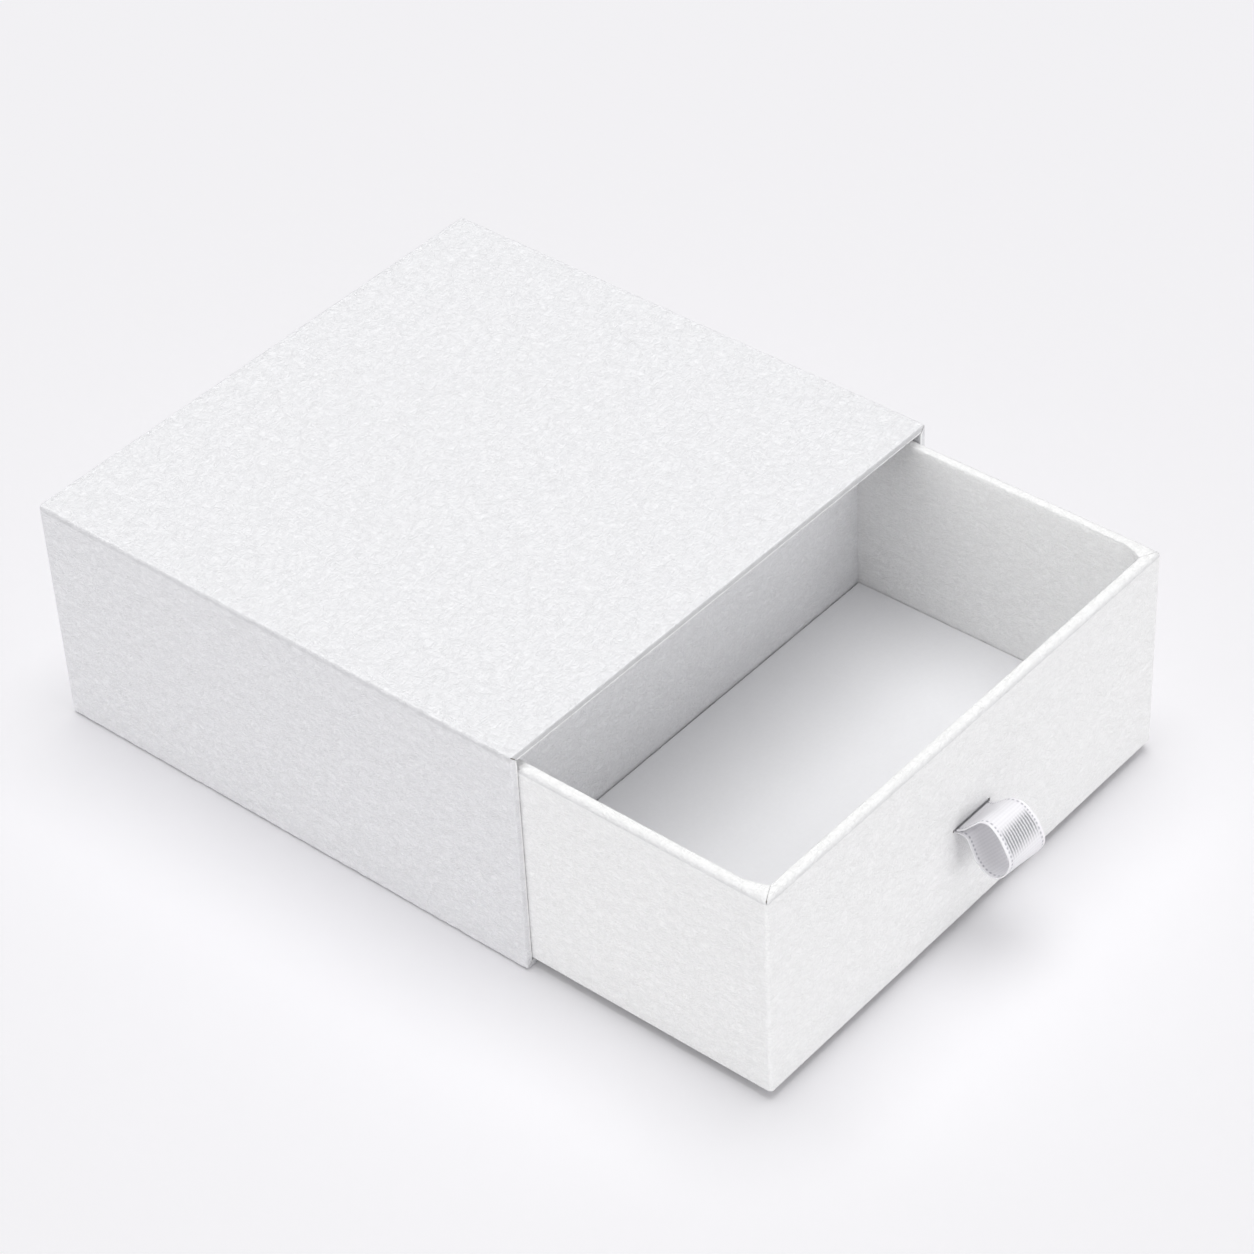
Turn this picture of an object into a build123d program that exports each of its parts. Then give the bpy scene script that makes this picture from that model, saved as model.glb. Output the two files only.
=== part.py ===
from build123d import *
import os

# Sliding drawer gift box: a rigid board sleeve, open at the front and closed at
# the back, with a rigid board drawer in it. Boards are glued edge to edge, held
# by stay tape at the corners and covered with textured paper that is rolled over
# every open edge. The drawer is pulled by a loop of satin ribbon.
# Millimetres. Origin: middle of the sleeve's underside. The drawer opens along -Y.

# Sleeve, outside
sleeve_width = 150.0
sleeve_depth = 148.0
sleeve_height = 64.5

# Board and paper thicknesses
sleeve_board = 1.5
drawer_board = 2.0
partition_board_thickness = 1.5
wrap_paper = 0.2
lining_paper = 0.2
cover_sheet = 0.2
tape = 0.12

# Running room of the drawer inside the sleeve
side_room = 0.3
floor_room = 0.3
head_room = 2.6
back_room = 0.4

# Drawer
drawer_out = 68.5
front_compartment = 82.4
lining_drop = 0.8
lining_corner = 6.0
pad_thickness = 6.5
pad_room = 0.3
pad_skirt = 5.0
partition_drop = 5.0

# Paper folds and turn-ins
sleeve_fold_radius = 1.0
drawer_fold_radius = 0.8
lip_radius = 0.6
partition_fold_radius = 0.6
cover_fold_radius = 0.4
sleeve_turn_in = 18.0
sheet_inset = 1.5
seam = 0.15

# Stay tape
sleeve_stay_leg = 12.0
sleeve_stay_inset = 3.0
drawer_stay_leg = 10.0
drawer_stay_inset = 3.0

# Ribbon pull
ribbon_width = 12.7
ribbon_thickness = 0.25
slot_length = 14.0
slot_height = 1.2
loop_reach = 15.3
loop_height = 13.6
root_gap = 0.4
leg_spread = 0.3
tail_length = 18.0
tail_proud = 0.1
patch_width = 22.0
patch_height = 30.0
patch_paper = 0.15
pocket_room = 0.1

# Far past anything that is cut
beyond = 500.0

# Sleeve levels. Under the base: cover sheet, then wrap, then board.
sleeve_half = sleeve_width / 2
mouth = -sleeve_depth / 2
sleeve_wall = wrap_paper + sleeve_board + lining_paper
wrap_low = (-sleeve_half, mouth, cover_sheet)
wrap_high = (sleeve_half, sleeve_depth / 2 - cover_sheet, sleeve_height)
hollow_low = (-sleeve_half + sleeve_wall, mouth - beyond, cover_sheet + sleeve_wall)
hollow_high = (sleeve_half - sleeve_wall, wrap_high[1] - sleeve_wall, sleeve_height - sleeve_wall)

# Drawer levels
drawer_half = hollow_high[0] - side_room
drawer_low_z = hollow_low[2] + floor_room
rim = hollow_high[2] - head_room
drawer_front = mouth - drawer_out
front_board_back = drawer_front + wrap_paper + drawer_board
drawer_depth = hollow_high[1] - back_room - mouth
drawer_back = drawer_front + drawer_depth
drawer_wall = wrap_paper + drawer_board + wrap_paper
board_floor_top = drawer_low_z + wrap_paper + drawer_board
tray_low = (-drawer_half + drawer_wall, drawer_front + drawer_wall, board_floor_top)
tray_high = (drawer_half - drawer_wall, drawer_back - drawer_wall, rim + beyond)
lined_low = (tray_low[0] + lining_paper, tray_low[1] + lining_paper, board_floor_top)
lined_high = (tray_high[0] - lining_paper, tray_high[1] - lining_paper, rim - lining_drop)

# Partition across the drawer
partition_front = lined_low[1] + front_compartment
partition_wall = partition_board_thickness + 2 * lining_paper
partition_back = partition_front + partition_wall
partition_top = rim - partition_drop

# Ribbon slot, in the middle of the drawer's front
slot_level = (drawer_low_z + rim) / 2


def block(low, high):
    """A box between two corners."""
    size = [b - a for a, b in zip(low, high)]
    middle = [(a + b) / 2 for a, b in zip(low, high)]
    return Pos(*middle) * Box(*size)


def grown(low, high, by):
    """Both corners of a box moved outwards by the same amount."""
    return [a - by for a in low], [b + by for b in high]


def open_case(outer, hollow, open_side, fold, lip):
    """A box with its folds rounded, hollowed from one side, its lip rounded."""
    case = block(*outer)
    lip_edges = case.faces().sort_by(open_side.axis)[open_side.index].edges()
    folds = [edge for edge in case.edges() if edge not in lip_edges]
    case = fillet(folds, fold) - block(*hollow)
    return fillet(case.faces().sort_by(open_side.axis)[open_side.index].edges(), lip)


class OpenFront:
    """The sleeve's mouth: the lowest face along Y."""

    axis = Axis.Y
    index = 0


class OpenTop:
    """The drawer's rim: the highest face along Z."""

    axis = Axis.Z
    index = -1


def sleeve_case(depth):
    """The sleeve's solid at a depth under its outer paper, hollow lined or bare."""
    outer = grown(wrap_low, wrap_high, -depth)
    hollow = grown(hollow_low, hollow_high, depth)
    return open_case(outer, hollow, OpenFront, sleeve_fold_radius - depth, lip_radius - depth)


def drawer_case(depth):
    """The drawer's solid at a depth under its outer paper."""
    low = (-drawer_half, drawer_front, drawer_low_z)
    high = (drawer_half, drawer_back, rim)
    outer = grown(low, high, -depth)
    hollow_floor = (tray_low[0] - depth, tray_low[1] - depth, board_floor_top)
    hollow_top = (tray_high[0] + depth, tray_high[1] + depth, tray_high[2])
    return open_case(
        outer, (hollow_floor, hollow_top), OpenTop, drawer_fold_radius - depth, lip_radius - depth
    )


def corner_tape(low, high, radius, fold_axis, region):
    """Tape folded round the edges of a board box, kept inside one region."""
    outside = block(low, high)
    outside = fillet(outside.edges().filter_by(fold_axis), radius)
    inner_low, inner_high = grown(low, high, -tape)
    inside = block(inner_low, inner_high)
    inside = fillet(inside.edges().filter_by(fold_axis), radius - tape)
    return (outside - inside) & block(*region)


def sleeve_stays():
    """Four tapes that hold the sleeve's long corners."""
    low, high = grown(wrap_low, wrap_high, -wrap_paper)
    radius = sleeve_fold_radius - wrap_paper
    start = low[1] + sleeve_stay_inset
    end = high[1] - sleeve_stay_inset
    stays = {}
    for side, edge in (("left", low[0]), ("right", high[0])):
        inward = sleeve_stay_leg if side == "left" else -sleeve_stay_leg
        across = sorted((edge, edge + inward))
        for level, height in (("base", low[2]), ("top", high[2])):
            upward = sleeve_stay_leg if level == "base" else -sleeve_stay_leg
            upright = sorted((height, height + upward))
            region = ((across[0], start, upright[0]), (across[1], end, upright[1]))
            stays[f"sleeve_stay_{level}_{side}"] = corner_tape(low, high, radius, Axis.Y, region)
    return stays


def drawer_stays():
    """Four tapes that hold the drawer's upright corners."""
    low = (-drawer_half + wrap_paper, drawer_front + wrap_paper, drawer_low_z + wrap_paper)
    high = (drawer_half - wrap_paper, drawer_back - wrap_paper, rim - wrap_paper)
    radius = drawer_fold_radius - wrap_paper
    bottom = low[2] + drawer_stay_inset
    top = high[2] - drawer_stay_inset
    stays = {}
    for end, edge in (("front", low[1]), ("back", high[1])):
        inward = drawer_stay_leg if end == "front" else -drawer_stay_leg
        along = sorted((edge, edge + inward))
        for side, wall in (("left", low[0]), ("right", high[0])):
            sideways = drawer_stay_leg if side == "left" else -drawer_stay_leg
            across = sorted((wall, wall + sideways))
            region = ((across[0], along[0], bottom), (across[1], along[1], top))
            stays[f"drawer_stay_{end}_{side}"] = corner_tape(low, high, radius, Axis.Z, region)
    return stays


def without(solid, cutters):
    """A solid with each cutter taken out of it."""
    for cutter in cutters:
        solid = solid - cutter
    return solid


def sleeve_boards(stays):
    """The sleeve's five boards: top and base run full size, the rest fit between."""
    boards = without(sleeve_case(wrap_paper), stays.values())
    inner_low, inner_high = grown(hollow_low, hollow_high, wrap_paper)
    span = beyond / 2
    upper = block((-span, -span, inner_high[2]), (span, span, span))
    lower = block((-span, -span, -span), (span, span, inner_low[2]))
    middle = ((-span, -span, inner_low[2]), (span, span, inner_high[2]))
    left = block(middle[0], (inner_low[0], span, inner_high[2]))
    right = block((inner_high[0], -span, inner_low[2]), middle[1])
    between = ((inner_low[0], inner_high[1], inner_low[2]), (inner_high[0], span, inner_high[2]))
    return {
        "sleeve_top_board": boards & upper,
        "sleeve_base_board": boards & lower,
        "sleeve_left_board": boards & left,
        "sleeve_right_board": boards & right,
        "sleeve_back_board": boards & block(*between),
    }


def mouth_mitres():
    """Thin cuts across the mouth's edge where the rolled paper meets at 45 degrees."""
    blade_length = 4 * sleeve_wall
    cuts = []
    for side in (-1, 1):
        for level, corner in ((1, wrap_high[2]), (-1, wrap_low[2])):
            blade = Box(blade_length, 2 * wrap_paper, seam)
            blade = Rot(0, -45 * side * level, 0) * blade
            cuts.append(Pos(side * sleeve_half, mouth, corner) * blade)
    return cuts


def rim_mitres():
    """Thin cuts across the drawer's rim where the rolled paper meets at 45 degrees."""
    blade_length = 4 * drawer_wall
    cuts = []
    for side in (-1, 1):
        for end, edge in ((-1, drawer_front), (1, drawer_back)):
            blade = Box(blade_length, seam, 2 * wrap_paper)
            blade = Rot(0, 0, 45 * side * end) * blade
            cuts.append(Pos(side * drawer_half, edge, rim) * blade)
    return cuts


def lined_part_of_sleeve():
    """The layer of the hollow behind the turned-in paper."""
    low, high = grown(hollow_low, hollow_high, wrap_paper)
    start = mouth + sleeve_turn_in
    outside = block((low[0], start, low[2]), high)
    return outside - block(hollow_low, hollow_high)


def sleeve_wrap():
    """Textured paper round the sleeve, rolled in at the mouth, seam under the base."""
    wrap = sleeve_case(0) - sleeve_case(wrap_paper) - lined_part_of_sleeve()
    base_seam = block((-seam, -beyond, -beyond), (seam, beyond, hollow_low[2] + seam))
    return without(wrap, mouth_mitres() + [base_seam])


def sleeve_back_sheet():
    """Cover sheet on the back, a little inside its edges."""
    edge = sleeve_half - sheet_inset
    low = (-edge, wrap_high[1], cover_sheet + sheet_inset)
    return block(low, (edge, sleeve_depth / 2, sleeve_height - sheet_inset))


def sleeve_base_sheet():
    """Cover sheet under the base: what the box stands on."""
    edge = sleeve_half - sheet_inset
    low = (-edge, mouth + sheet_inset, 0)
    return block(low, (edge, wrap_high[1] - sheet_inset, cover_sheet))


def front_slot():
    """The slot that the ribbon comes out of, through paper and board."""
    half = slot_length / 2
    low = (-half, drawer_front - drawer_wall, slot_level - slot_height / 2)
    return block(low, (half, front_board_back, slot_level + slot_height / 2))


def tail_pocket():
    """Room pressed into the back of the front board for the ribbon's tails."""
    half = ribbon_width / 2 + pocket_room
    length = tail_length + pocket_room
    low = (-half, front_board_back - patch_paper - ribbon_thickness, slot_level - length)
    return block(low, (half, front_board_back, slot_level + length))


def patch_pocket():
    """Room for the paper patch over the tails."""
    half = patch_width / 2
    low = (-half, front_board_back - patch_paper, slot_level - patch_height / 2)
    return block(low, (half, front_board_back, slot_level + patch_height / 2))


def drawer_boards(stays):
    """The drawer's five boards: front and back run full width, sides between them."""
    boards = without(drawer_case(wrap_paper), stays.values())
    span = beyond / 2
    left_face = tray_low[0] - wrap_paper
    right_face = tray_high[0] + wrap_paper
    front_face = tray_low[1] - wrap_paper
    back_face = tray_high[1] + wrap_paper
    front = boards & block((-span, -span, -span), (span, front_face, span))
    left = block((-span, front_face, -span), (left_face, back_face, span))
    right = block((right_face, front_face, -span), (span, back_face, span))
    base = block((left_face, front_face, -span), (right_face, back_face, span))
    return {
        "drawer_front_board": without(front, [front_slot(), tail_pocket(), patch_pocket()]),
        "drawer_back_board": boards & block((-span, back_face, -span), (span, span, span)),
        "drawer_left_board": boards & left,
        "drawer_right_board": boards & right,
        "drawer_base_board": boards & base,
    }


def drawer_wrap():
    """Textured paper over the drawer's outside, rolled over the rim and down inside."""
    wrap = drawer_case(0) - drawer_case(wrap_paper)
    outer_skin = front_slot() & block(
        (-beyond, -beyond, -beyond), (beyond, drawer_front + wrap_paper, beyond)
    )
    return without(wrap, rim_mitres() + [outer_skin])


def drawer_wall_lining():
    """Paper inside the four walls, its top front corners cut round."""
    outside = block(tray_low, (tray_high[0], tray_high[1], lined_high[2]))
    lining = outside - block(lined_low, (lined_high[0], lined_high[1], beyond))
    corner = block(
        (-beyond, lined_low[1], lined_high[2] - lining_corner),
        (beyond, lined_low[1] + lining_corner, lined_high[2] + seam),
    )
    centre = Pos(0, lined_low[1] + lining_corner, lined_high[2] - lining_corner)
    round_keep = centre * Rot(0, 90, 0) * Cylinder(lining_corner, 2 * beyond)
    return lining - (corner - round_keep)


def partition():
    """A board across the drawer and the paper folded over it."""
    low = (lined_low[0], partition_front, board_floor_top)
    high = (lined_high[0], partition_back, partition_top)
    top_edges = block(low, high).edges().filter_by(Axis.X).sort_by(Axis.Z)[-2:]
    outside = fillet(top_edges, partition_fold_radius)
    inner_low = (low[0], low[1] + lining_paper, low[2])
    inner_high = (high[0], high[1] - lining_paper, high[2] - lining_paper)
    inner_edges = block(inner_low, inner_high).edges().filter_by(Axis.X).sort_by(Axis.Z)[-2:]
    board = fillet(inner_edges, partition_fold_radius - lining_paper)
    return {"partition_board": board, "partition_cover": outside - board}


def padded_floor(name, start, end):
    """A pad on the drawer's floor under a paper cover with short skirts."""
    low = (lined_low[0] + pad_room, start + pad_room, board_floor_top)
    high = (lined_high[0] - pad_room, end - pad_room, board_floor_top + pad_thickness)
    cover_low = (low[0], low[1], high[2] - pad_skirt)
    cover_high = (high[0], high[1], high[2] + cover_sheet)
    cover = fillet(block(cover_low, cover_high).edges().group_by(Axis.Z)[-1], cover_fold_radius)
    pad_low = (low[0] + cover_sheet, low[1] + cover_sheet, low[2])
    pad_high = (high[0] - cover_sheet, high[1] - cover_sheet, high[2])
    pad_edges = block(pad_low, pad_high).edges().group_by(Axis.Z)[-1]
    pad = fillet(pad_edges, cover_fold_radius - cover_sheet)
    return {f"{name}_pad": pad, f"{name}_pad_cover": cover - pad}


def ribbon_loop():
    """The loop outside the slot: a teardrop that droops a little, extruded to width."""
    outline = [
        (0.15, 0.10), (0.33, 0.30), (0.58, 0.42), (0.84, 0.29), (1.00, -0.06),
        (0.92, -0.42), (0.68, -0.56), (0.44, -0.40), (0.27, -0.14), (0.14, -0.04),
    ]
    points = [(root_gap, leg_spread / 2)]
    points += [(loop_reach * out, loop_height * up) for out, up in outline]
    points += [(root_gap, -leg_spread / 2)]
    path = Spline(*points, tangents=[(1, 0.2), (-1, 0.1)])
    band = trace(path, ribbon_thickness)
    side_on = Plane(
        origin=(ribbon_width / 2, drawer_front, slot_level), x_dir=(0, -1, 0), z_dir=(-1, 0, 0)
    )
    return extrude(side_on * band, amount=ribbon_width)


def ribbon_tails():
    """Both ends of the ribbon: through the slot, then spread up and down the board."""
    half = ribbon_width / 2
    spread = front_board_back - patch_paper
    neck_low = (-half, drawer_front - tail_proud, slot_level - ribbon_thickness)
    neck = block(neck_low, (half, spread, slot_level + ribbon_thickness))
    tails_low = (-half, spread - ribbon_thickness, slot_level - tail_length)
    return neck + block(tails_low, (half, spread, slot_level + tail_length))


parts = {}
parts.update(sleeve_stays())
parts.update(sleeve_boards(parts))
parts["sleeve_wrap"] = sleeve_wrap()
parts["sleeve_lining"] = lined_part_of_sleeve()
parts["sleeve_back_sheet"] = sleeve_back_sheet()
parts["sleeve_base_sheet"] = sleeve_base_sheet()
drawer_tapes = drawer_stays()
parts.update(drawer_tapes)
parts.update(drawer_boards(drawer_tapes))
parts["drawer_wrap"] = drawer_wrap()
parts["drawer_wall_lining"] = drawer_wall_lining()
parts.update(partition())
parts.update(padded_floor("front", lined_low[1], partition_front))
parts.update(padded_floor("rear", partition_back, lined_high[1]))
parts["ribbon_loop"] = ribbon_loop()
parts["ribbon_tails"] = ribbon_tails()
parts["ribbon_patch"] = patch_pocket()

os.makedirs("parts", exist_ok=True)
for name, solid in parts.items():
    export_step(solid, f"parts/{name}.step")
print(len(parts), "nodes")
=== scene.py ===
"""Sliding drawer gift box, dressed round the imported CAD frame.

The paper that shows is folded here as thin shells: the sleeve's wrap with its rolled mouth, the drawer's
wrap with its rolled rim and corner ears, and the lining of the drawer's walls. The satin ribbon is one
strip from end to end. Boards, tape, pads and flat sheets stay CAD nodes with better materials.
Metres, in the frame of the CAD: the drawer opens along -Y.
"""
import math
from collections import namedtuple

import bmesh
import bpy
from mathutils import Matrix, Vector, noise
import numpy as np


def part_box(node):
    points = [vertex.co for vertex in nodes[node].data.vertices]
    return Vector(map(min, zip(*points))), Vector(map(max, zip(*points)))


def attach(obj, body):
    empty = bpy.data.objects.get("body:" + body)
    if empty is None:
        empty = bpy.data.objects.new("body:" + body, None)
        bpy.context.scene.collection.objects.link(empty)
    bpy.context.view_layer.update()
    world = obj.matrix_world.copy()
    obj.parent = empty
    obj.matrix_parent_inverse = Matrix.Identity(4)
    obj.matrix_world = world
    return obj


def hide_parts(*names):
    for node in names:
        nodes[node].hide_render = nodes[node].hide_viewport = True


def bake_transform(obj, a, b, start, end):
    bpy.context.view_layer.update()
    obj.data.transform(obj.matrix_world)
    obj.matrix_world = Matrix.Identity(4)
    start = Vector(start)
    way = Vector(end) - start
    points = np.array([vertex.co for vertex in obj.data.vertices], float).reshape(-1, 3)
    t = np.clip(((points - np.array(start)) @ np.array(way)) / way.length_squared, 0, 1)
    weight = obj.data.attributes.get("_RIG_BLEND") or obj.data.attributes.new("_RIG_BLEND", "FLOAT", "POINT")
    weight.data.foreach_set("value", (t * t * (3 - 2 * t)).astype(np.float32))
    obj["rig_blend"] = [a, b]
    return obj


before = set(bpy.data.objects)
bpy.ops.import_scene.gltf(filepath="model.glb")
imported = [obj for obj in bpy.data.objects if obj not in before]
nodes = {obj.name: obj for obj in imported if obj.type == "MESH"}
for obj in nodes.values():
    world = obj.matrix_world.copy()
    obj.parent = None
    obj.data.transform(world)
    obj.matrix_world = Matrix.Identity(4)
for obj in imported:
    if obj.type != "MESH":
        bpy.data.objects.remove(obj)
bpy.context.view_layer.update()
mm = 0.001


# ---------------------------------------------------------------- materials

# Fibre marks in the paper, in millimetres. Real felt marks are 0.1 to 0.3 mm wide. They are drawn coarser,
# so that they show
felt_mark_length = 2.0
felt_mark_width = 0.42
felt_wander = 2.2
felt_wander_length = 3.0
# Two layers of marks add up to heights between about these two
felt_valley = 0.75
felt_crest = 1.25
# Keeps the marks of the two layers apart
felt_shift = 3.1
# Colours of the painted highlight and the painted shade that marked folds and edges mix in
painted_highlight_white = "#FFFFFF"
painted_shade_grey = "#CBCBCD"
board_relief = 0.05 * mm


def linear(hex_colour):
    """An sRGB hex colour as linear RGBA."""
    parts = [int(hex_colour[i:i + 2], 16) / 255 for i in (1, 3, 5)]
    return [p / 12.92 if p <= 0.04045 else ((p + 0.055) / 1.055) ** 2.4 for p in parts] + [1.0]


def add(tree, kind, inputs=None, **settings):
    """Adds a node. An input given as (node, output) is linked, any other is set."""
    node = tree.nodes.new("ShaderNode" + kind)
    for name, value in settings.items():
        setattr(node, name, value)
    for name, value in (inputs or {}).items():
        if isinstance(value, tuple) and isinstance(value[0], bpy.types.Node):
            tree.links.new(value[0].outputs[value[1]], node.inputs[name])
        else:
            node.inputs[name].default_value = value
    return node


def new_material(name):
    """An empty node material and its tree."""
    material = bpy.data.materials.new(name)
    material.use_nodes = True
    material.node_tree.nodes.clear()
    return material, material.node_tree


def per_metre(size_mm):
    """The scale of a noise whose marks are that many millimetres long."""
    return 1 / (size_mm * mm)


def bands_per(size_mm):
    """The scale of a wave texture whose bands are that many millimetres apart."""
    return math.pi / 10 / (size_mm * mm)


def felt_marks(tree, place, axis):
    """Height of fibres that run along one axis, wandering a little."""
    stretch = [per_metre(felt_mark_width)] * 3
    stretch[axis] = per_metre(felt_mark_length)
    bend = add(tree, "TexNoise", {
        "Vector": (place, "Object"), "Scale": per_metre(felt_wander_length), "Detail": 1.0})
    sway = add(tree, "VectorMath", {0: (bend, "Color"), 1: (0.5, 0.5, 0.5)}, operation="SUBTRACT")
    wander = add(tree, "VectorMath", {0: (sway, 0), "Scale": felt_wander * mm}, operation="SCALE")
    moved = add(tree, "VectorMath", {0: (place, "Object"), 1: (wander, 0)})
    placed = add(tree, "Mapping", {
        "Vector": (moved, 0), "Location": [felt_shift + axis] * 3, "Scale": stretch})
    return add(tree, "TexNoise", {"Vector": (placed, 0), "Scale": 1.0, "Detail": 2.0, "Roughness": 0.55})


def felt_paper(name, colour, shade, relief_mm, tint_depth):
    """Uncoated felt-marked cover paper: matt, with soft short fibre marks that catch raking light.

    Folds that a mesh marks get a painted highlight, whiter, or where the mark is below 0, painted shade,
    greyer."""
    material, tree = new_material(name)
    place = add(tree, "TexCoord")
    lengthways, crossways = [felt_marks(tree, place, axis) for axis in (0, 1)]
    height = add(tree, "Math", {0: (lengthways, 0), 1: (crossways, 0)}, operation="ADD")
    level = add(tree, "MapRange", {
        "Value": (height, 0), "From Min": felt_valley, "From Max": felt_crest})
    amount = add(tree, "Math", {0: (level, 0), 1: tint_depth}, operation="MULTIPLY")
    tint = add(tree, "Mix", {
        "Factor": (amount, 0), "A": linear(colour), "B": linear(shade)}, data_type="RGBA")
    # Painted highlight where the mark is above 0, painted shade where it is below
    painted_light = add(tree, "Attribute", attribute_name="rubbed")
    with_painted_light = add(tree, "Mix", {
        "Factor": (painted_light, "Fac"), "A": (tint, "Result"), "B": linear(painted_highlight_white)}, data_type="RGBA")
    painted_shade_amount = add(tree, "Math", {0: (painted_light, "Fac"), 1: -1.0}, operation="MULTIPLY")
    with_painted_light = add(tree, "Mix", {
        "Factor": (painted_shade_amount, 0), "A": (with_painted_light, "Result"), "B": linear(painted_shade_grey)}, data_type="RGBA")
    bump = add(tree, "Bump", {"Height": (level, 0), "Strength": 1.0, "Distance": relief_mm * mm})
    shader = add(tree, "BsdfPrincipled", {
        "Base Color": (with_painted_light, "Result"), "Roughness": 0.82, "IOR": 1.5, "Specular IOR Level": 0.35,
        "Normal": (bump, 0),
    })
    add(tree, "OutputMaterial", {"Surface": (shader, 0)})
    return material


def pulp_board(name, colour, shade, grain_mm, roughness):
    """Pressed pulp: matt, with fibre specks a little darker than the rest."""
    material, tree = new_material(name)
    place = add(tree, "TexCoord")
    specks = add(tree, "TexNoise", {
        "Vector": (place, "Object"), "Scale": per_metre(grain_mm), "Detail": 5.0, "Roughness": 0.7,
    })
    tint = add(tree, "Mix", {
        "Factor": (specks, 0), "A": linear(colour), "B": linear(shade)}, data_type="RGBA")
    bump = add(tree, "Bump", {"Height": (specks, 0), "Distance": board_relief})
    shader = add(tree, "BsdfPrincipled", {
        "Base Color": (tint, "Result"), "Roughness": roughness, "IOR": 1.5, "Normal": (bump, 0),
    })
    add(tree, "OutputMaterial", {"Surface": (shader, 0)})
    return material


half_ribbon = 6.35 * mm
# Real ribs and picks lie 0.2 to 0.3 mm apart. They are drawn coarser, so that they show
rib_pitch = 0.85
pick_pitch = 0.8
stitch_pitch = 1.1
# Where along the ribbon the weave starts to open, is open, still is, and has closed again
open_weave = [spot * mm for spot in (33, 36, 38.5, 42)]
# How far in from the ribbon's edges the line of stitches starts and is full, and so for the ribs
stitches_start = 0.55 * mm
stitches_full = 0.75 * mm
ribs_start = 0.9 * mm
ribs_full = 1.3 * mm
# How dark the gaps between the ribs are where the weave is open and elsewhere, and those between the picks
opened_gaps = 0.95
closed_gaps = 0.03
pick_gaps = 0.1
weave_relief = 0.06 * mm
# Where along it the ribbon leaves the slot, and the width and colour of the painted shadow of the slot
# across it there
root = 19.9 * mm
slot_shadow_width = 0.4 * mm
slot_shadow_grey = "#77767C"
light_through = 0.28


def satin(name, colour, rib_shade, stitch_shade):
    """Woven polyester satin: fine ribs along it, open and dark where it bends, and sewn selvedges.

    It is thin, so that light comes through to its shaded side."""
    material, tree = new_material(name)
    weave = add(tree, "UVMap", uv_map="weave")
    spot = add(tree, "SeparateXYZ", {0: (weave, 0)})
    ribs = add(tree, "TexWave", {
        "Vector": (weave, 0), "Scale": bands_per(rib_pitch),
        "Distortion": 1.4, "Detail": 2.0, "Detail Scale": 2.5,
    }, wave_type="BANDS", bands_direction="X")
    picks = add(tree, "TexWave", {
        "Vector": (weave, 0), "Scale": bands_per(pick_pitch), "Distortion": 0.4,
    }, wave_type="BANDS", bands_direction="Y")
    opens, opened, closes, closed = open_weave
    bend_start = add(tree, "MapRange", {
        "Value": (spot, "Y"), "From Min": opens, "From Max": opened}, interpolation_type="SMOOTHSTEP")
    bend_end = add(tree, "MapRange", {
        "Value": (spot, "Y"), "From Min": closed, "From Max": closes}, interpolation_type="SMOOTHSTEP")
    bend = add(tree, "Math", {0: (bend_start, 0), 1: (bend_end, 0)}, operation="MULTIPLY")
    from_middle = add(tree, "Math", {0: (spot, "X")}, operation="ABSOLUTE")
    body = add(tree, "MapRange", {
        "Value": (from_middle, 0),
        "From Min": half_ribbon - ribs_start, "From Max": half_ribbon - ribs_full,
    })
    selvedge = add(tree, "MapRange", {
        "Value": (from_middle, 0),
        "From Min": half_ribbon - stitches_start, "From Max": half_ribbon - stitches_full,
    })
    seam = add(tree, "Math", {0: (selvedge, 0), 1: (body, 0)}, operation="SUBTRACT")
    stitches = add(tree, "TexWave", {
        "Vector": (weave, 0), "Scale": bands_per(stitch_pitch), "Distortion": 2.0, "Detail": 1.0,
    }, wave_type="BANDS", bands_direction="Y")
    stitch = add(tree, "Math", {0: (stitches, 1), 1: (seam, 0)}, operation="MULTIPLY")
    openness = add(tree, "Math", {0: (bend, 0), 1: opened_gaps, 2: closed_gaps}, operation="MULTIPLY_ADD")
    gaps = add(tree, "Math", {0: (ribs, 1), 1: (openness, 0)}, operation="MULTIPLY")
    gaps = add(tree, "Math", {0: (picks, 1), 1: pick_gaps, 2: (gaps, 0)}, operation="MULTIPLY_ADD")
    gaps = add(tree, "Math", {0: (gaps, 0), 1: (body, 0)}, operation="MULTIPLY")
    woven = add(tree, "Mix", {
        "Factor": (gaps, 0), "A": linear(colour), "B": linear(rib_shade)}, data_type="RGBA")
    sewn = add(tree, "Mix", {
        "Factor": (stitch, 0), "A": (woven, "Result"), "B": linear(stitch_shade)}, data_type="RGBA")
    # Painted shadow of the slot, darkest where the ribbon leaves it
    from_root = add(tree, "Math", {0: (spot, "Y"), 1: root}, operation="SUBTRACT")
    from_root = add(tree, "Math", {0: (from_root, 0)}, operation="ABSOLUTE")
    slot_shadow = add(tree, "MapRange", {
        "Value": (from_root, 0), "From Min": slot_shadow_width, "From Max": slot_shadow_width / 2})
    sewn = add(tree, "Mix", {
        "Factor": (slot_shadow, 0), "A": (sewn, "Result"), "B": linear(slot_shadow_grey)}, data_type="RGBA")
    relief = add(tree, "Math", {0: (gaps, 0), 1: (stitch, 0)}, operation="ADD")
    bump = add(tree, "Bump", {"Height": (relief, 0), "Distance": weave_relief}, invert=True)
    shader = add(tree, "BsdfPrincipled", {
        "Base Color": (sewn, "Result"), "Roughness": 0.38, "IOR": 1.5, "Normal": (bump, 0),
        "Sheen Weight": 0.3, "Sheen Roughness": 0.4,
    })
    through = add(tree, "BsdfTranslucent", {"Color": linear("#FFFFFF"), "Normal": (bump, 0)})
    thin = add(tree, "MixShader", {0: light_through, 1: (shader, 0), 2: (through, 0)})
    add(tree, "OutputMaterial", {"Surface": (thin, 0)})
    return material


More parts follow.
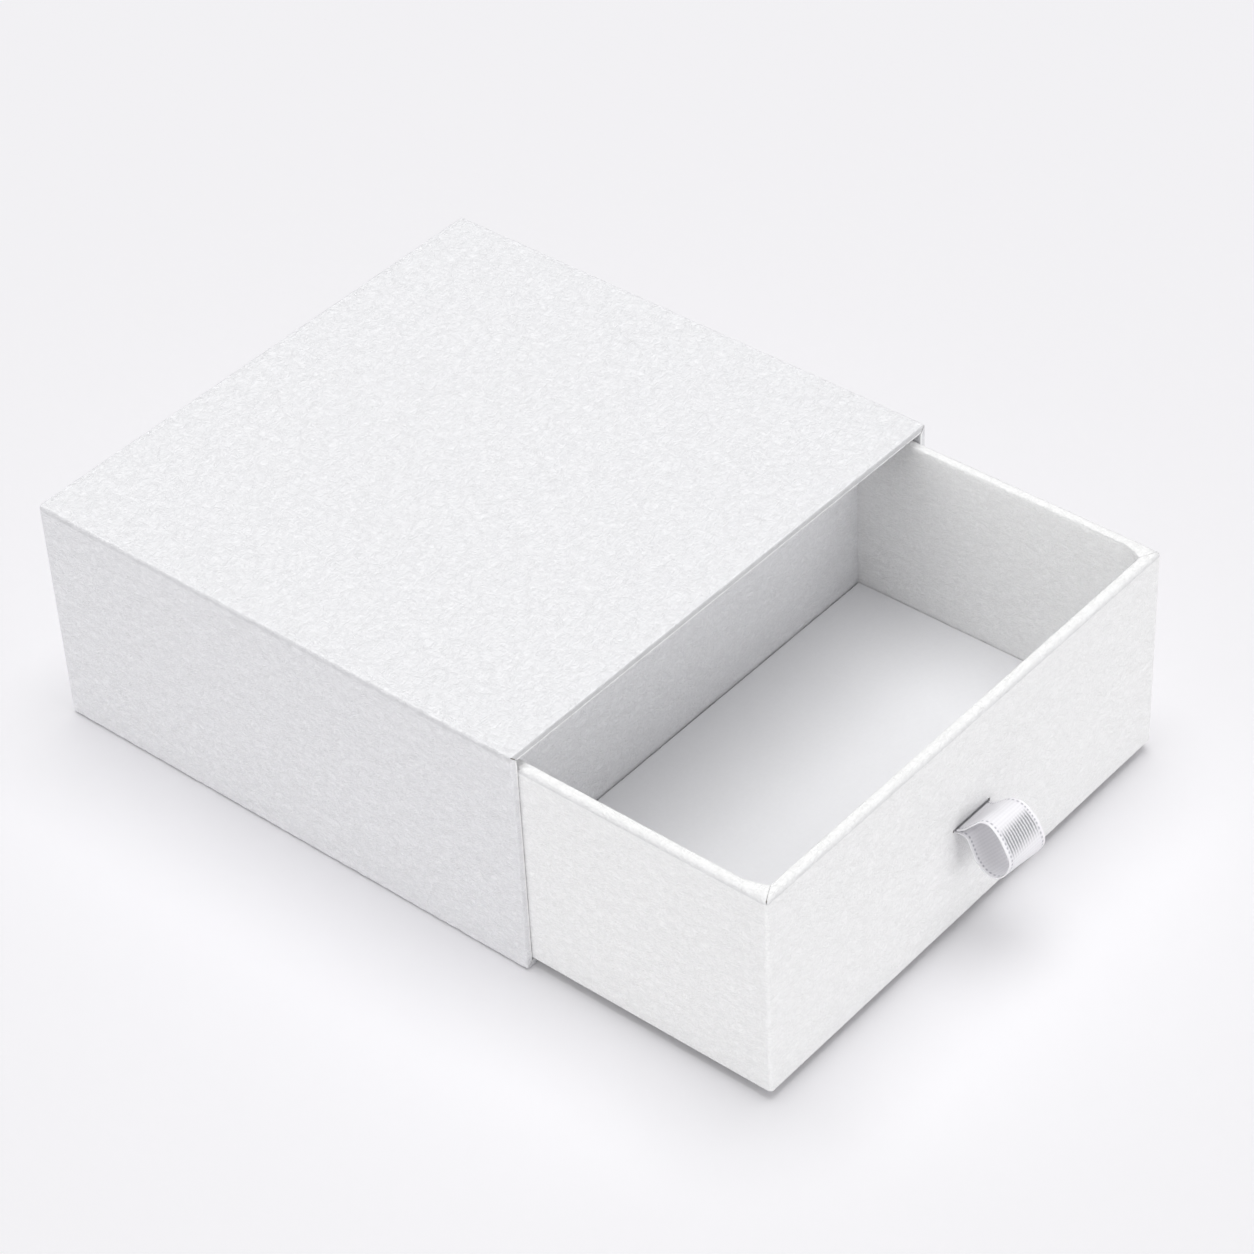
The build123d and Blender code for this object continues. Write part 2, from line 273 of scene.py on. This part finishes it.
sleeve_paper = felt_paper("felt_marked_paper_white", "#EEEEF0", "#D6D6D9", relief_mm=0.17, tint_depth=0.5)
drawer_paper = felt_paper(
    "felt_marked_paper_bright_white", "#F7F7F7", "#E2E2E2", relief_mm=0.14, tint_depth=0.5)
smooth_paper = felt_paper(
    "smooth_uncoated_paper_white", "#F1F1F3", "#EAEAEC", relief_mm=0.01, tint_depth=0.3)
greyboard = pulp_board("pressed_greyboard", "#8E887E", "#736D64", grain_mm=0.6, roughness=0.9)
kraft_tape = pulp_board("gummed_kraft_tape", "#B58F63", "#9C7A52", grain_mm=0.8, roughness=0.6)
corrugated = pulp_board("brown_corrugated_board", "#B08A5E", "#9A774F", grain_mm=1.2, roughness=0.85)
ribbon_satin = satin("woven_satin_white", "#FAF9FC", "#6E6D76", "#A09FA8")
finish_by_slot = {
    "textured_wrap": sleeve_paper, "lining_paper": smooth_paper, "greyboard": greyboard,
    "stay_tape": kraft_tape, "corrugated_pad": corrugated, "satin_ribbon": ribbon_satin,
}


# ---------------------------------------------------------------- folded paper

paper = 0.2 * mm
# Distances from a corner at which the paper has vertices, close together where it is crumpled
corner_walk = [d * mm for d in (0.2, 0.35, 0.52, 0.7, 0.95, 1.3, 1.8, 2.4, 3.2, 4.2, 5.4, 6.8)]
panel_step = 1.6 * mm
arc_steps = 6
folded_gap = 0.03 * mm
# Crumpling: how deep and how long a dent is, how far it goes from a corner and from a rolled edge, and
# how much of it there is along that edge
crinkle = 0.11 * mm
crinkle_length = 1.5 * mm
crinkle_from_corner = 2.5 * mm
crinkle_from_edge = 1.5 * mm
edge_crinkle = 0.5
# The dents' noise starts from this number, so that every run gives the same ones
noise.seed_set(5)
cut_edge = math.radians(40)
# Width of the painted highlight along a rolled edge's inner fold, and where it has faded out
highlight_width = 0.22 * mm
highlight_end = 1.4 * highlight_width
inner_corner = 0.12 * mm
# How far the paper reaches over the sleeve's back edges and under the drawer, one ring at each distance
turned_over = [inset * mm for inset in (2.2, 5, 10, 16)]

# slit: half the gap between the two sheets at a corner, none where the paper is folded round it.
# The last field: how strong the fold's painted highlight is, or below 0, how dark its painted shade is.
Ring = namedtuple("Ring", "level inset radius slit rubbed", defaults=(0, 0))


def quarter_turn():
    """Sine and cosine at even steps of a quarter turn, both ends included."""
    turns = [math.pi / 2 * i / arc_steps for i in range(arc_steps + 1)]
    return [(math.sin(turn), math.cos(turn)) for turn in turns]


def outline_length(run, radius):
    """A rounded rectangle's side, from diagonal to diagonal."""
    return 2 * (run - radius + radius * math.pi / 4)


def outline_point(half, radius, side, walked, from_end):
    """A point of a rounded rectangle, that far along a side from the diagonal of the nearer corner."""
    along = ((1, 0), (0, 1), (-1, 0), (0, -1))[side]
    run, reach = (half[0], half[1]) if along[0] else (half[1], half[0])
    bend = radius * math.pi / 4
    if walked < bend:
        angle = math.pi / 4 + walked / radius
        forward = run - radius + radius * math.cos(angle)
        outward = reach - radius + radius * math.sin(angle)
    else:
        forward = run - radius - (walked - bend)
        outward = reach
    forward = forward if from_end else -forward
    return along[0] * forward + along[1] * outward, along[1] * forward - along[0] * outward


def side_walk(length):
    """Where a side has vertices: distance from the nearer diagonal, and whether that is the far one."""
    near = corner_walk[-1]
    half = length / 2
    count = max(1, round((half - near) / panel_step))
    walk = [0.0] + corner_walk + [near + (half - near) * i / count for i in range(1, count)]
    return [(d, False) for d in walk] + [(half, False)] + [(d, True) for d in reversed(walk)]


def fitted(walked, length, full):
    """A distance on the outermost ring, fitted to a ring whose side has another length."""
    near = corner_walk[-1]
    if walked <= near:
        return walked
    return near + (walked - near) * (length / 2 - near) / (full / 2 - near)


def new_piece(name, mesh, body, finish, replaced):
    """A finished mesh as a piece of the object, riding on its body."""
    data = bpy.data.meshes.new(name)
    mesh.to_mesh(data)
    mesh.free()
    data.materials.append(finish)
    data.shade_smooth()
    piece = bpy.data.objects.new(name, data)
    bpy.context.scene.collection.objects.link(piece)
    if body:
        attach(piece, body)
    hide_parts(*replaced)
    return piece


def thicken(piece, thickness):
    """Gives a sheet its thickness, inwards from the face that shows, and keeps its cut edges crisp."""
    shell = piece.modifiers.new("sheet", "SOLIDIFY")
    shell.thickness = thickness
    shell.offset = -1
    viewed = bpy.context.evaluated_depsgraph_get()
    thick = bpy.data.meshes.new_from_object(
        piece.evaluated_get(viewed), preserve_all_data_layers=True, depsgraph=viewed)
    piece.modifiers.clear()
    piece.data = thick
    thick.set_sharp_from_angle(angle=cut_edge)


def folded_wrap(half, rings, place):
    """A sheet folded round a box: rings of a rounded rectangle, slit at the corners where a ring says so."""
    mesh = bmesh.new()
    painted_light = mesh.verts.layers.float.new("rubbed")
    corner_radius = max(ring.radius for ring in rings)
    full = [outline_length(half[side % 2], corner_radius) for side in range(4)]
    walks = [side_walk(length) for length in full]
    starts = [sum(len(walk) for walk in walks[:side]) for side in range(4)]
    rows = []
    for ring in rings:
        inner = [h - ring.inset for h in half]
        row = []
        for side in range(4):
            length = outline_length(inner[side % 2], ring.radius)
            for walked, from_end in walks[side]:
                spot = max(fitted(walked, length, full[side]), ring.slit or folded_gap)
                a, b = outline_point(inner, ring.radius, side, spot, from_end)
                point = Vector(place(a, b, ring))
                near_corner = math.exp(-(walked / crinkle_from_corner) ** 2)
                near_edge = edge_crinkle * math.exp(-(ring.level / crinkle_from_edge) ** 2)
                wave = noise.noise_vector(point / crinkle_length)
                vert = mesh.verts.new(point + wave * crinkle * max(near_corner, near_edge))
                # Each vertex keeps its ring's painted highlight, or below 0 its painted shade
                vert[painted_light] = ring.rubbed
                row.append(vert)
        rows.append(row)
    count = len(rows[0])
    for inner_row, outer_row, ring in zip(rows, rows[1:], rings):
        for i in range(count):
            j = (i + 1) % count
            if ring.slit and j in starts:
                continue
            mesh.faces.new((inner_row[j], inner_row[i], outer_row[i], outer_row[j]))
    return mesh, rows


def rolled_edge(wall, outer, inner, corner, slit, fold_highlight, fold_shade):
    """Rings of paper rolled over a board's edge, from inside to outside. Levels start at the edge.

    The inner fold gets a painted highlight, the outer one painted shade."""
    rings = []
    for sine, cosine in quarter_turn():
        rings.append(Ring(inner * (1 - sine), wall - inner * (1 - cosine), inner_corner, slit, fold_highlight * sine))
    rings.append(Ring(0, wall - inner - highlight_width, inner_corner, slit, fold_highlight))
    rings.append(Ring(0, wall - inner - highlight_end, inner_corner, slit))
    for sine, cosine in quarter_turn():
        inset = outer * (1 - sine)
        radius = inner_corner + (corner - inner_corner) * (1 - inset / wall)
        rings.append(Ring(outer * (1 - cosine), inset, radius, slit, -fold_shade * sine))
    return rings


def levels(start, end, step):
    """Even levels between two, neither end included."""
    count = max(1, round(abs(end - start) / step))
    return [start + (end - start) * i / count for i in range(1, count)]


def outside(start, end, fold):
    """Rings of paper along a box's outside, from a rolled edge to the far end and over that end's edges."""
    rings = [Ring(start + walked, 0, fold) for walked in corner_walk]
    rings += [Ring(level, 0, fold) for level in levels(rings[-1].level, end - fold, panel_step)]
    for sine, cosine in quarter_turn():
        rings.append(Ring(end - fold * (1 - sine), fold * (1 - cosine), fold))
    return rings + [Ring(end, inset, fold) for inset in turned_over]


# Sleeve
wrap_low, wrap_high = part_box("sleeve_wrap")
sleeve_half = (wrap_high.x, (wrap_high.z - wrap_low.z) / 2)
sleeve_middle = (wrap_high.z + wrap_low.z) / 2
sleeve_wall = wrap_high.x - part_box("sleeve_lining")[1].x + paper
sleeve_fold = 0.8 * mm
turn_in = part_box("sleeve_lining")[0].y - wrap_low.y
sleeve_depth = wrap_high.y - wrap_low.y
mouth_outer_radius = 0.45 * mm
mouth_inner_radius = 0.2 * mm
mouth_slit = 0.15 * mm
mouth_step = 3 * mm
# How strong the painted highlight along the mouth's inner fold is
mouth_highlight = 0.9
# How dark the painted shade on the lip over the opening and on the top's outer edges is, and how far it
# reaches
mouth_shade = 0.75
mouth_shade_depth = 0.2 * mm
lip_height = sleeve_wall - mouth_inner_radius - 1.1 * highlight_width
edge_shade = 0.4
edge_shade_width = 0.25 * mm
edge_shade_drop = 1.5 * mm


def paint_shade_on_edges(mesh):
    """Paints shade on the lip over the opening, all but its lower edge, and on the top's edges."""
    painted_light = mesh.verts.layers.float["rubbed"]
    for vert in mesh.verts:
        below = wrap_high.z - vert.co.z
        from_side = wrap_high.x - abs(vert.co.x)
        on_lip = vert.co.y < wrap_low.y + mouth_shade_depth and below < lip_height
        on_edge = min(from_side, wrap_high.y - vert.co.y) < edge_shade_width
        if on_lip and below < from_side:
            vert[painted_light] = -mouth_shade
        elif on_edge and below < edge_shade_drop:
            vert[painted_light] = -edge_shade


def sleeve_wrap():
    """The sleeve's paper: rolled into the mouth, round four sides and over the back's edges."""
    inside = [turn_in] + levels(turn_in, mouth_inner_radius, mouth_step)
    rings = [Ring(level, sleeve_wall, inner_corner, mouth_slit) for level in inside]
    rings += rolled_edge(
        sleeve_wall, mouth_outer_radius, mouth_inner_radius, sleeve_fold, mouth_slit, mouth_highlight, 0)
    rings[-1] = rings[-1]._replace(slit=0)
    rings += outside(mouth_outer_radius, sleeve_depth, sleeve_fold)

    def place(a, b, ring):
        return a, wrap_low.y + ring.level, sleeve_middle + b

    mesh, _ = folded_wrap(sleeve_half, rings, place)
    paint_shade_on_edges(mesh)
    piece = new_piece("sleeve_paper", mesh, "sleeve", sleeve_paper, ["sleeve_wrap"])
    thicken(piece, paper)


# Drawer
drawer_low, drawer_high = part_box("drawer_wrap")
lining_low, lining_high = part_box("drawer_wall_lining")
slot_place = Vector((0, drawer_low.y, (drawer_low.z + drawer_high.z) / 2))
drawer_half = (drawer_high.x, (drawer_high.y - drawer_low.y) / 2)
drawer_middle = (drawer_high.y + drawer_low.y) / 2
drawer_wall = drawer_high.x - lining_high.x
drawer_fold = 0.8 * mm
rim = drawer_high.z
drawer_height = drawer_high.z - drawer_low.z
rim_outer_radius = 1.0 * mm
rim_inner_radius = 0.3 * mm
rim_slit = 0.045 * mm
# How dark the painted shade on the rim's outer rounding is
rim_shade = 0.5
# Half the slit's width where the rim turns down outside
corner_gap = 0.13 * mm
# Inside, the paper is slit from the rim down to about here, and ends this far above the drawer's underside
slit_end = 10.5 * mm
unslit_start = 10 * mm
inside_end = 4 * mm
slit_step = 0.9 * mm
inside_step = 6 * mm
slot_length = 14 * mm
slot_low = 0.35 * mm
slot_high = 0.6 * mm
# An ear's width, its length along the side wall, its drop down that wall and its reach across the box,
# and how fast it dies out in each of the last three directions
ear_width = 2.2 * mm
ear_length = 6.4 * mm
ear_drop = 5 * mm
ear_reach = 20 * mm
ear_length_power = 1.4
ear_drop_power = 1.3
ear_reach_power = 1.5


def ear(x, y, inset, level):
    """How far the paper ear in each corner of the drawer pushes the paper there along X, inwards."""
    across = drawer_half[0] - inset - abs(x)
    along = drawer_half[1] - inset - abs(y - drawer_middle)
    swell = max(0, 1 - along / ear_length) ** ear_length_power
    swell *= max(0, 1 - across / ear_reach) ** ear_reach_power
    swell *= max(0, 1 - level / ear_drop) ** ear_drop_power
    return -math.copysign(ear_width * min(1, inset / drawer_wall) * swell, x)


def cut_slot(mesh):
    """Cuts the ribbon's slot out of the drawer's front."""
    reach = 12 * mm
    edges = [
        (slot_place + Vector((-slot_length / 2, 0, 0)), (1, 0, 0)),
        (slot_place + Vector((slot_length / 2, 0, 0)), (1, 0, 0)),
        (slot_place + Vector((0, 0, -slot_low)), (0, 0, 1)),
        (slot_place + Vector((0, 0, slot_high)), (0, 0, 1)),
    ]

    def near_slot(face):
        away = face.calc_center_median() - slot_place
        return abs(away.y) < 0.1 * mm and max(abs(away.x), abs(away.z)) < reach

    for spot, across in edges:
        faces = [face for face in mesh.faces if near_slot(face)]
        edges_there = dict.fromkeys(edge for face in faces for edge in face.edges)
        verts_there = dict.fromkeys(vert for face in faces for vert in face.verts)
        there = faces + list(edges_there) + list(verts_there)
        bmesh.ops.bisect_plane(mesh, geom=there, dist=1e-7, plane_co=spot, plane_no=across)
    cut_out = []
    for face in mesh.faces:
        away = face.calc_center_median() - slot_place
        if near_slot(face) and abs(away.x) < slot_length / 2 and -slot_low < away.z < slot_high:
            cut_out.append(face)
    bmesh.ops.delete(mesh, geom=cut_out, context="FACES")


def drawer_wrap():
    """The drawer's paper: up its walls, rolled over the rim with an ear in each corner, down inside."""
    lowest = drawer_height - inside_end
    unslit = [lowest] + levels(lowest, unslit_start, inside_step)
    slit = levels(slit_end, rim_inner_radius, slit_step)
    rings = [Ring(level, drawer_wall, inner_corner) for level in unslit]
    rings += [Ring(level, drawer_wall, inner_corner, rim_slit) for level in slit]
    rings += rolled_edge(
        drawer_wall, rim_outer_radius, rim_inner_radius, drawer_fold, rim_slit, 0, rim_shade)
    rings[-1] = rings[-1]._replace(slit=0)
    rings[-3] = rings[-3]._replace(slit=corner_gap)
    rings += outside(rim_outer_radius, drawer_height, drawer_fold)

    def place(a, b, ring):
        y = drawer_middle + b
        return a + ear(a, y, ring.inset, ring.level), y, rim - ring.level

    mesh, rows = folded_wrap(drawer_half, rings, place)
    mesh.faces.new(rows[-1])
    bmesh.ops.reverse_faces(mesh, faces=mesh.faces)
    cut_slot(mesh)
    piece = new_piece("drawer_paper", mesh, "drawer", drawer_paper, ["drawer_wrap"])
    thicken(piece, paper)


# Lining of the drawer's walls: how far its strips stop short of the corners, how round their ends are,
# how far their top edge is pressed into the wrap, and where and how deep its small step is
lining_end = 2.4 * mm
lining_round = 2.0 * mm
lining_top = rim - 0.35 * mm
lining_press = 0.14 * mm
step_place = 12.6 * mm
lining_step = 0.45 * mm
# Where a strip has vertices: shares of its height, and distances from each end
lining_rise = (0, 0.3, 0.55, 0.75, 0.84, 0.9, 0.94, 0.97, 0.99, 1)
lining_walk = [d * mm for d in (0, 0.05, 0.2, 0.5, 1.0, 1.5, 2.0, 3.0, 4.5, 6.5, 9.0, 12.2, 13.0)]


def lining_height(run, whole):
    """Height of the lining's cut edge, that far along a strip: round at both ends, with one small step."""
    edge = min(run, whole - run)
    top = lining_top - (lining_step if run < step_place else 0)
    if edge < lining_round:
        top -= lining_round - math.sqrt(lining_round ** 2 - (lining_round - edge) ** 2)
    return top


def wall_lining():
    """Four strips of paper, one on each wall. They stop short of the corners, where the ears are."""
    mesh = bmesh.new()
    for axis in (0, 1):
        whole = (lining_high - lining_low)[axis] - 2 * lining_end
        middle = [whole * i / 12 for i in range(2, 11)]
        runs = lining_walk + middle + [whole - d for d in reversed(lining_walk)]
        for side in (-1, 1):
            columns = []
            for run in runs:
                column = []
                for share in lining_rise:
                    z = lining_low.z + share * (lining_height(run, whole) - lining_low.z)
                    along = lining_low[axis] + lining_end + run
                    off_wall = paper - (lining_press if share == 1 else 0)
                    if axis:
                        x = side * (lining_high.x - off_wall)
                        x += ear(x, along, drawer_wall, rim - z)
                        column.append(mesh.verts.new((x, along, z)))
                    else:
                        y = lining_low.y + off_wall if side < 0 else lining_high.y - off_wall
                        column.append(mesh.verts.new((along, y, z)))
                columns.append(column)
            for left, right in zip(columns, columns[1:]):
                for i in range(len(lining_rise) - 1):
                    corners = (left[i], right[i], right[i + 1], left[i + 1])
                    facing = side if axis else -side
                    mesh.faces.new(corners if facing > 0 else corners[::-1])
    piece = new_piece(
        "drawer_lining_strips", mesh, "drawer", drawer_paper, ["drawer_wall_lining"])
    thicken(piece, paper)


# ---------------------------------------------------------------- ribbon

ribbon_thickness = 0.25 * mm
pieces_between_points = 7
# Shares of the half width at which it has vertices, close together along its edges
ribbon_across = [
    -1, -0.985, -0.95, -0.9, -0.85, -0.8, -0.6, -0.4, -0.2, 0, 0.2, 0.4, 0.6, 0.8, 0.85, 0.9, 0.95, 0.985, 1,
]
# The ribbon's upper end, glued behind the front: out from the front and up from the slot, in millimetres.
# Its lower end is the same the other way up
tail = [(-1.93, 18.0), (-1.93, 9.0), (-1.93, 2.2), (-1.8, 0.6), (-1.2, 0.15), (-0.5, 0.1)]
# The loop's two edges, out from the drawer's front and up from the slot, in millimetres
left_edge = [
    (0.9, 0.35), (2.8, 1.7), (4.8, 3.9), (6.8, 6.0), (8.4, 6.7), (10.2, 6.2), (12.3, 4.0), (14.0, 1.2),
    (15.0, -1.2), (14.7, -3.8), (13.4, -6.3), (11.6, -7.7), (9.6, -8.0), (7.8, -7.2), (6.1, -5.3),
    (5.0, -3.0), (3.7, -0.5), (2.3, 0.1), (0.9, -0.1),
]
right_edge = [
    (0.8, 0.1), (2.2, 0.5), (4.0, 2.1), (5.8, 3.7), (7.6, 4.5), (9.6, 4.7), (11.6, 3.6), (13.5, 1.8),
    (14.9, -0.8), (15.6, -3.3), (14.9, -5.8), (13.2, -8.4), (11.2, -9.5), (9.0, -9.1), (7.2, -7.6),
    (5.8, -5.0), (4.4, -2.4), (2.8, -0.8), (1.0, -0.4),
]


def smooth_through(points, pieces):
    """A smooth line through points (Catmull-Rom), with that many pieces between each two."""
    ends = [points[0]] + points + [points[-1]]
    line = []
    for p, q, r, s in zip(ends, ends[1:], ends[2:], ends[3:]):
        for i in range(pieces):
            t = i / pieces
            line.append(0.5 * (2 * q + (r - p) * t + (2 * p - 5 * q + 4 * r - s) * t ** 2
                               + (3 * q - p - 3 * r + s) * t ** 3))
    return line + [points[-1]]


def ribbon():
    """One strip of ribbon: down behind the front board, out of the slot, round the loop and back."""
    lower_tail = [(out, -up) for out, up in reversed(tail)]
    sides = []
    for edge in (left_edge, right_edge):
        points = [Vector((out, up)) * mm for out, up in tail + edge + lower_tail]
        sides.append(smooth_through(points, pieces_between_points))
    mesh = bmesh.new()
    weave = mesh.loops.layers.uv.new("weave")
    rows = []
    travelled = [0.0]
    for p, q in zip(sides[0], sides[0][1:]):
        travelled.append(travelled[-1] + (q - p).length)
    for left, right in zip(*sides):
        row = []
        for share in ribbon_across:
            out, up = left.lerp(right, (share + 1) / 2)
            row.append(mesh.verts.new((share * half_ribbon, slot_place.y - out, slot_place.z + up)))
        rows.append(row)
    for i, (near, far) in enumerate(zip(rows, rows[1:])):
        for j in range(len(ribbon_across) - 1):
            face = mesh.faces.new((near[j], far[j], far[j + 1], near[j + 1]))
            ends = ((j, i), (j, i + 1), (j + 1, i + 1), (j + 1, i))
            for loop, (column, step) in zip(face.loops, ends):
                loop[weave].uv = (ribbon_across[column] * half_ribbon, travelled[step])
    bmesh.ops.reverse_faces(mesh, faces=mesh.faces)
    piece = new_piece(
        "satin_ribbon_pull", mesh, None, ribbon_satin, ["ribbon_loop", "ribbon_tails"])
    thicken(piece, ribbon_thickness)
    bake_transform(piece, "drawer", "ribbon", start=slot_place, end=slot_place + Vector((0, -2.5 * mm, 0)))


def dress_nodes():
    """Gives each CAD node the finish of its record slot."""
    for node in nodes.values():
        kind = node.data.materials[0].name
        node.material_slots[0].material = finish_by_slot[kind]


dress_nodes()
sleeve_wrap()
drawer_wrap()
wall_lining()
ribbon()


# ---------------------------------------------------------------- light and camera

floor_reach = 5.0
floor_colour = "#F8F7FA"
floor_lift = 0.07
backdrop_colour = "#F6F5F8"
fill_strength = 0.41
lens_length = 113.94
camera_place = (-0.535058, -0.521042, 0.634141)
camera_turn = [math.radians(degrees) for degrees in (50.138995, 2.328031, -50.140639)]


def pale_floor():
    """The floor. What the camera sees of it is lifted to the backdrop's brightness, and shadows stay."""
    corners = [(-1, -1), (1, -1), (1, 1), (-1, 1)]
    data = bpy.data.meshes.new("floor")
    data.from_pydata([(x * floor_reach, y * floor_reach, 0) for x, y in corners], [], [(0, 1, 2, 3)])
    floor = bpy.data.objects.new("floor", data)
    bpy.context.scene.collection.objects.link(floor)
    material, tree = new_material("pale_matt_floor")
    rays = add(tree, "LightPath")
    lift = add(tree, "Math", {0: (rays, "Is Camera Ray"), 1: floor_lift}, operation="MULTIPLY")
    matt = add(tree, "BsdfDiffuse", {"Color": linear(floor_colour)})
    glow = add(tree, "Emission", {"Color": linear("#FFFFFF"), "Strength": (lift, 0)})
    both = add(tree, "AddShader", {0: (matt, 0), 1: (glow, 0)})
    add(tree, "OutputMaterial", {"Surface": (both, 0)})
    data.materials.append(material)
    return floor


def soft_lamp(name, towards, spread, strength, unlit=None):
    """A distant lamp as wide as a soft box. What is unlit gets none of its light, so no second shadow."""
    lamp = bpy.data.lights.new(name, "SUN")
    lamp.energy = strength
    lamp.angle = math.radians(spread)
    holder = bpy.data.objects.new(name, lamp)
    holder.rotation_euler = Vector(towards).to_track_quat("Z", "Y").to_euler()
    bpy.context.scene.collection.objects.link(holder)
    if unlit:
        holder.light_linking.receiver_collection = unlit


def kept_dark(surface):
    """A collection that makes a lamp linked to it leave this surface unlit."""
    unlit = bpy.data.collections.new("unlit")
    unlit.objects.link(surface)
    unlit.collection_objects[0].light_linking.link_state = "EXCLUDE"
    return unlit


def even_light():
    """Weak light from all round, and the pale backdrop that the camera sees and gloss reflects."""
    world = bpy.data.worlds.new("studio")
    bpy.context.scene.world = world
    world.use_nodes = True
    tree = world.node_tree
    tree.nodes.clear()
    rays = add(tree, "LightPath")
    seen = add(tree, "Math", {0: (rays, "Is Camera Ray"), 1: (rays, "Is Glossy Ray")}, operation="MAXIMUM")
    seen = add(tree, "Math", {0: (seen, 0), 1: (rays, "Is Transmission Ray")}, operation="MAXIMUM")
    fill = add(tree, "Background", {"Color": linear("#FFFFFF"), "Strength": fill_strength})
    backdrop = add(tree, "Background", {"Color": linear(backdrop_colour), "Strength": 1.0})
    mixed = add(tree, "MixShader", {0: (seen, 0), 1: (fill, 0), 2: (backdrop, 0)})
    add(tree, "OutputWorld", {"Surface": (mixed, 0)})


def photograph_camera():
    """The camera, where the photograph's stood: its place and lens are fitted to the box's corners there."""
    data = bpy.data.cameras.new("camera")
    data.sensor_width = 36
    data.lens = lens_length
    camera = bpy.data.objects.new("camera", data)
    camera.location = camera_place
    camera.rotation_euler = camera_turn
    bpy.context.scene.collection.objects.link(camera)
    bpy.context.scene.camera = camera


unlit_floor = kept_dark(pale_floor())
even_light()
soft_lamp("overhead_lamp", towards=(0.12, 0.06, 1.0), spread=47, strength=1.455)
soft_lamp("left_lamp", towards=(-1.0, 0.2, 0.4), spread=50, strength=1.1, unlit=unlit_floor)
soft_lamp("front_lamp", towards=(0.02, -1.0, 0.4), spread=40, strength=1.19, unlit=unlit_floor)
soft_lamp("back_lamp", towards=(1.0, 0.6, 0.4), spread=60, strength=0.1, unlit=unlit_floor)
photograph_camera()
bpy.context.scene.view_settings.view_transform = "Standard"
